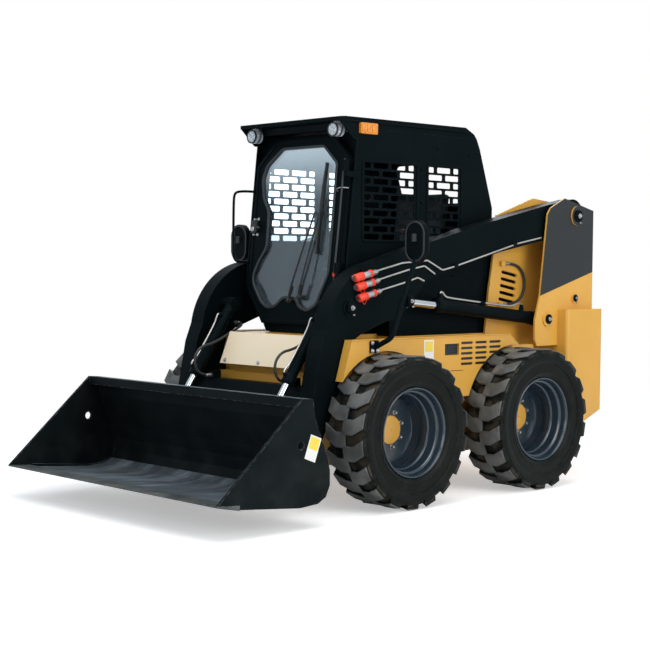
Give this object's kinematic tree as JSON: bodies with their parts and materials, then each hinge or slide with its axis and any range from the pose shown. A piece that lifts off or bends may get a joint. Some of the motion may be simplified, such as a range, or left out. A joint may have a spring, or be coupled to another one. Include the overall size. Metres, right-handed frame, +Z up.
{
  "type": "skid steer loader",
  "caption": "Compact skid steer loader with a closed cab, radial lift arms, tilting dirt bucket, hydraulic cylinders and lugged tyres.",
  "frame": {"origin": "on the ground under the middle of the machine's overall box", "axes": "+Z up, +Y towards the tail, -Y towards the bucket, +X towards the machine's left side"},
  "size_m": [1.85, 3.31, 2.126],
  "materials": {
    "amber_paint": "satin",
    "cream_paint": "satin",
    "black_paint": "satin",
    "rear_panel": "satin",
    "pipe_steel": "satin",
    "hose_rubber": "matte",
    "engine_iron": "matte",
    "wear_steel": "worn",
    "rod_chrome": "polished",
    "glass": "clear",
    "lamp_clear": "clear",
    "lamp_amber": "clear",
    "seat_vinyl": "matte",
    "control_plastic": "matte",
    "tyre_rubber": "dusty",
    "rim_paint": "satin"
  },
  "bodies": {
    "frame": {"chassis": "amber_paint", "axle_housings": "amber_paint", "tower_hose_left": "hose_rubber", "tower_hose_right": "hose_rubber", "front_plate": "cream_paint", "fender_left": "amber_paint", "fender_right": "amber_paint", "tower_left": "amber_paint", "tower_right": "amber_paint", "bumper_left": "amber_paint", "bumper_right": "amber_paint", "hood": "amber_paint", "engine": "engine_iron", "cab_side_left": "black_paint", "cab_side_right": "black_paint", "cab_rear": "black_paint", "cab_floor": "black_paint", "cab_front": "black_paint", "roof": "black_paint", "work_lamps": "lamp_clear", "marker_lamps": "lamp_amber", "seat": "seat_vinyl", "controls": "control_plastic", "cab_hinges": "black_paint", "rear_hinges": "black_paint", "mirror_left": "black_paint", "mirror_right": "black_paint"},
    "lift_arms": {"arm_left": "black_paint", "arm_right": "black_paint", "arm_cross": "black_paint", "arm_pipes": "pipe_steel", "tilt_hose_left": "hose_rubber", "tilt_hose_right": "hose_rubber"},
    "bucket_group": {"coupler": "black_paint", "bucket": "black_paint", "cutting_edge": "wear_steel"},
    "front_door": {"door_frame": "black_paint", "door_glass": "glass"},
    "tailgate": {"rear_door": "rear_panel"},
    "lift_cylinder_left": {"lift_barrel_left": "black_paint"},
    "lift_piston_left": {"lift_rod_left": "rod_chrome"},
    "tilt_cylinder_left": {"tilt_barrel_left": "black_paint"},
    "tilt_piston_left": {"tilt_rod_left": "rod_chrome"},
    "lift_cylinder_right": {"lift_barrel_right": "black_paint"},
    "lift_piston_right": {"lift_rod_right": "rod_chrome"},
    "tilt_cylinder_right": {"tilt_barrel_right": "black_paint"},
    "tilt_piston_right": {"tilt_rod_right": "rod_chrome"},
    "wheel_front_left": {"tyre_front_left": "tyre_rubber", "rim_front_left": "rim_paint"},
    "wheel_front_right": {"tyre_front_right": "tyre_rubber", "rim_front_right": "rim_paint"},
    "wheel_rear_left": {"tyre_rear_left": "tyre_rubber", "rim_rear_left": "rim_paint"},
    "wheel_rear_right": {"tyre_rear_right": "tyre_rubber", "rim_rear_right": "rim_paint"}
  },
  "joints": [
    {"name": "arms_raise", "type": "hinge", "parent": "frame", "child": "lift_arms", "pos_m": [0, 1.473, 1.625], "axis": [-1, 0, 0], "range_deg": [-2.4, 60]},
    {"name": "bucket_tilt", "type": "hinge", "parent": "lift_arms", "child": "bucket_group", "pos_m": [0, -0.782, 0.29], "axis": [1, 0, 0], "range_deg": [-24, 100]},
    {"name": "lift_cylinder_swing_left", "type": "hinge", "parent": "frame", "child": "lift_cylinder_left", "pos_m": [0.526, 1.187, 0.987], "axis": [-1, 0, 0], "range_deg": [-2.4, 58]},
    {"name": "lift_piston_slide_left", "type": "slide", "parent": "lift_cylinder_left", "child": "lift_piston_left", "axis": [0, -0.9948, 0.1017], "range_m": [-0.028, 0.692]},
    {"name": "tilt_cylinder_swing_left", "type": "hinge", "parent": "lift_arms", "child": "tilt_cylinder_left", "pos_m": [0.397, -0.477, 1.078], "axis": [1, 0, 0], "range_deg": [-1, 4.1]},
    {"name": "tilt_piston_slide_left", "type": "slide", "parent": "tilt_cylinder_left", "child": "tilt_piston_left", "axis": [0, -0.5701, -0.8215], "range_m": [-0.0756, 0.3145]},
    {"name": "lift_cylinder_swing_right", "type": "hinge", "parent": "frame", "child": "lift_cylinder_right", "pos_m": [-0.526, 1.187, 0.987], "axis": [-1, 0, 0], "range_deg": [-2.4, 58]},
    {"name": "lift_piston_slide_right", "type": "slide", "parent": "lift_cylinder_right", "child": "lift_piston_right", "axis": [0, -0.9948, 0.1017], "range_m": [-0.028, 0.692]},
    {"name": "tilt_cylinder_swing_right", "type": "hinge", "parent": "lift_arms", "child": "tilt_cylinder_right", "pos_m": [-0.397, -0.477, 1.078], "axis": [1, 0, 0], "range_deg": [-1, 4.1]},
    {"name": "tilt_piston_slide_right", "type": "slide", "parent": "tilt_cylinder_right", "child": "tilt_piston_right", "axis": [0, -0.5701, -0.8215], "range_m": [-0.0756, 0.3145]},
    {"name": "front_door_swing", "type": "hinge", "parent": "frame", "child": "front_door", "pos_m": [0.398, -0.39978, 1.16616], "axis": [0, 0.1039, 0.9946], "range_deg": [0, 85]},
    {"name": "tailgate_swing", "type": "hinge", "parent": "frame", "child": "tailgate", "pos_m": [-0.447, 1.647, 0.76], "axis": [0, 0, 1], "range_deg": [0, 100]},
    {"name": "wheel_spin_front_left", "type": "hinge", "parent": "frame", "child": "wheel_front_left", "pos_m": [0.735, -0.252, 0.415], "axis": [1, 0, 0], "continuous": true},
    {"name": "wheel_spin_front_right", "type": "hinge", "parent": "frame", "child": "wheel_front_right", "pos_m": [-0.735, -0.252, 0.415], "axis": [1, 0, 0], "continuous": true},
    {"name": "wheel_spin_rear_left", "type": "hinge", "parent": "frame", "child": "wheel_rear_left", "pos_m": [0.735, 0.838, 0.415], "axis": [1, 0, 0], "continuous": true},
    {"name": "wheel_spin_rear_right", "type": "hinge", "parent": "frame", "child": "wheel_rear_right", "pos_m": [-0.735, 0.838, 0.415], "axis": [1, 0, 0], "continuous": true}
  ],
  "couplings": [
    {"joint": "lift_cylinder_swing_left", "follows": "arms_raise", "ratio": 0.96},
    {"joint": "lift_piston_slide_left", "follows": "arms_raise", "m_per_rad": 0.66},
    {"joint": "tilt_cylinder_swing_left", "follows": "bucket_tilt", "ratio": 0.04},
    {"joint": "tilt_piston_slide_left", "follows": "bucket_tilt", "m_per_rad": 0.18},
    {"joint": "lift_cylinder_swing_right", "follows": "arms_raise", "ratio": 0.96},
    {"joint": "lift_piston_slide_right", "follows": "arms_raise", "m_per_rad": 0.66},
    {"joint": "tilt_cylinder_swing_right", "follows": "bucket_tilt", "ratio": 0.04},
    {"joint": "tilt_piston_slide_right", "follows": "bucket_tilt", "m_per_rad": 0.18}
  ]
}
